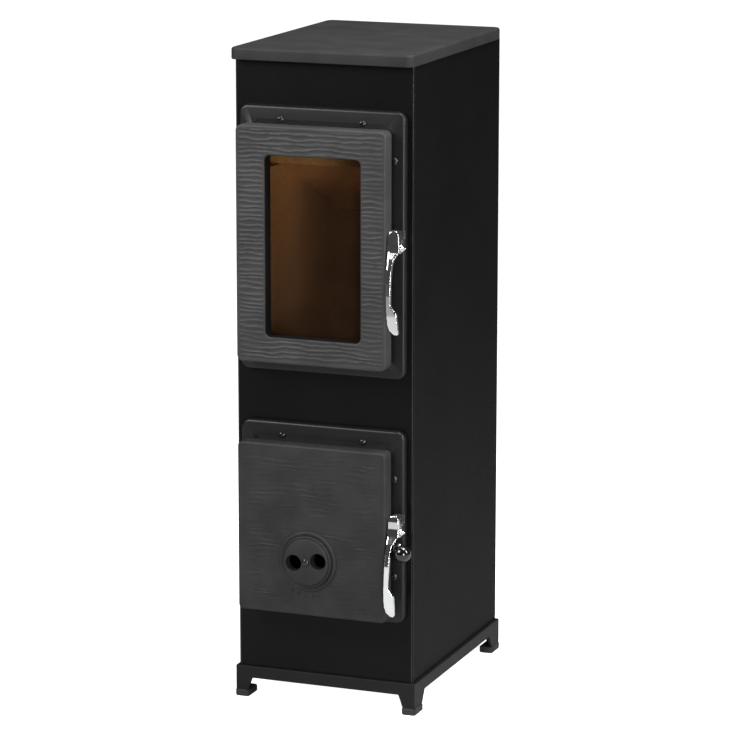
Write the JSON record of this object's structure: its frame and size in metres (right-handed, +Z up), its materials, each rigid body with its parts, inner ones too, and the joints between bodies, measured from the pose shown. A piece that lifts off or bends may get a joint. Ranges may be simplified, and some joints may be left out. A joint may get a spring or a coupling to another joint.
{
  "type": "column wood stove",
  "caption": "Tall slim freestanding steel stove with latched cast doors, window, air disc, riddling knob and rear flue collar.",
  "frame": {"origin": "centre of the bounding box at floor level, under the feet", "axes": "+Z up, front (doors) towards -Y, +X to the right seen from the front"},
  "size_m": [0.3166, 0.519, 1.061],
  "materials": {
    "cast_grey": "matte cast iron, stove black, lightly waved on the doors",
    "casing_black": "satin black stove enamel on steel sheet",
    "body_steel": "matte heat-darkened steel plate",
    "chrome": "polished chrome plating",
    "screw_black": "black oxide screws",
    "fire_board": "buff vermiculite fire board, soot-toned",
    "glass_amber": "ceramic glass with an amber tint",
    "seal_rope": "braided glass-fibre rope, grey-black",
    "cap_dark": "dark foot cap",
    "knob_black": "glossy black ball",
    "bright_steel": "plain bright steel"
  },
  "bodies": {
    "root": {"top_plate": "cast_grey", "front_panel": "casing_black", "left_panel": "casing_black", "right_panel": "casing_black", "rear_panel": "casing_black", "base_frame": "cast_grey", "front_left_foot_cap": "cap_dark", "front_right_foot_cap": "cap_dark", "rear_left_foot_cap": "cap_dark", "rear_right_foot_cap": "cap_dark", "base_plate": "body_steel", "firebox_body": "body_steel", "flue_collar": "cast_grey", "left_brick": "fire_board", "right_brick": "fire_board", "back_brick": "fire_board", "left_board": "fire_board", "right_board": "fire_board", "back_board": "fire_board", "front_brick": "fire_board", "rear_baffle": "fire_board", "front_baffle": "fire_board", "grate_frame": "cast_grey", "rod_escutcheon": "chrome", "ember_fence": "cast_grey", "ash_pan": "body_steel", "upper_frame": "cast_grey", "upper_keeper": "bright_steel", "lower_frame": "cast_grey", "lower_keeper": "bright_steel", "upper_frame_screw_1": "screw_black", "upper_frame_screw_2": "screw_black", "upper_frame_screw_3": "screw_black", "upper_frame_screw_4": "screw_black", "upper_hinge_pin_1": "bright_steel", "upper_hinge_pin_2": "bright_steel", "lower_frame_screw_1": "screw_black", "lower_frame_screw_2": "screw_black", "lower_frame_screw_3": "screw_black", "lower_frame_screw_4": "screw_black", "lower_hinge_pin_1": "bright_steel", "lower_hinge_pin_2": "bright_steel"},
    "upper_door": {"upper_door": "cast_grey", "upper_door_rope": "seal_rope", "window_glass": "glass_amber", "window_gasket": "seal_rope", "left_glass_clip": "bright_steel", "right_glass_clip": "bright_steel", "upper_handle_pin": "chrome"},
    "upper_handle": {"upper_handle": "chrome"},
    "lower_door": {"lower_door": "cast_grey", "lower_door_rope": "seal_rope", "lower_handle_pin": "chrome", "air_disc_rivet": "screw_black"},
    "lower_handle": {"lower_handle": "chrome"},
    "air_disc": {"air_disc": "cast_grey"},
    "riddler": {"riddling_grate": "cast_grey", "riddling_rod": "bright_steel", "riddling_knob": "knob_black"}
  },
  "joints": [
    {"name": "upper_door_hinge", "type": "hinge", "parent": "root", "child": "upper_door", "pos_m": [-0.13475, -0.2205, 0.7557], "axis": [0, 0, -1], "range_deg": [0, 110]},
    {"name": "upper_handle_lift", "type": "hinge", "parent": "upper_door", "child": "upper_handle", "pos_m": [0.13025, -0.2335, 0.763], "axis": [-1, 0, 0], "range_deg": [0, 28]},
    {"name": "lower_door_hinge", "type": "hinge", "parent": "root", "child": "lower_door", "pos_m": [-0.13475, -0.2205, 0.29825], "axis": [0, 0, -1], "range_deg": [0, 110]},
    {"name": "lower_handle_lift", "type": "hinge", "parent": "lower_door", "child": "lower_handle", "pos_m": [0.13025, -0.2335, 0.309], "axis": [-1, 0, 0], "range_deg": [0, 28]},
    {"name": "air_disc_turn", "type": "hinge", "parent": "lower_door", "child": "air_disc", "pos_m": [-0.01375, -0.2525, 0.25], "axis": [0, -1, 0], "range_deg": [0, 90]},
    {"name": "riddling_slide", "type": "slide", "parent": "root", "child": "riddler", "axis": [0, -1, 0], "range_m": [0, 0.02]}
  ]
}
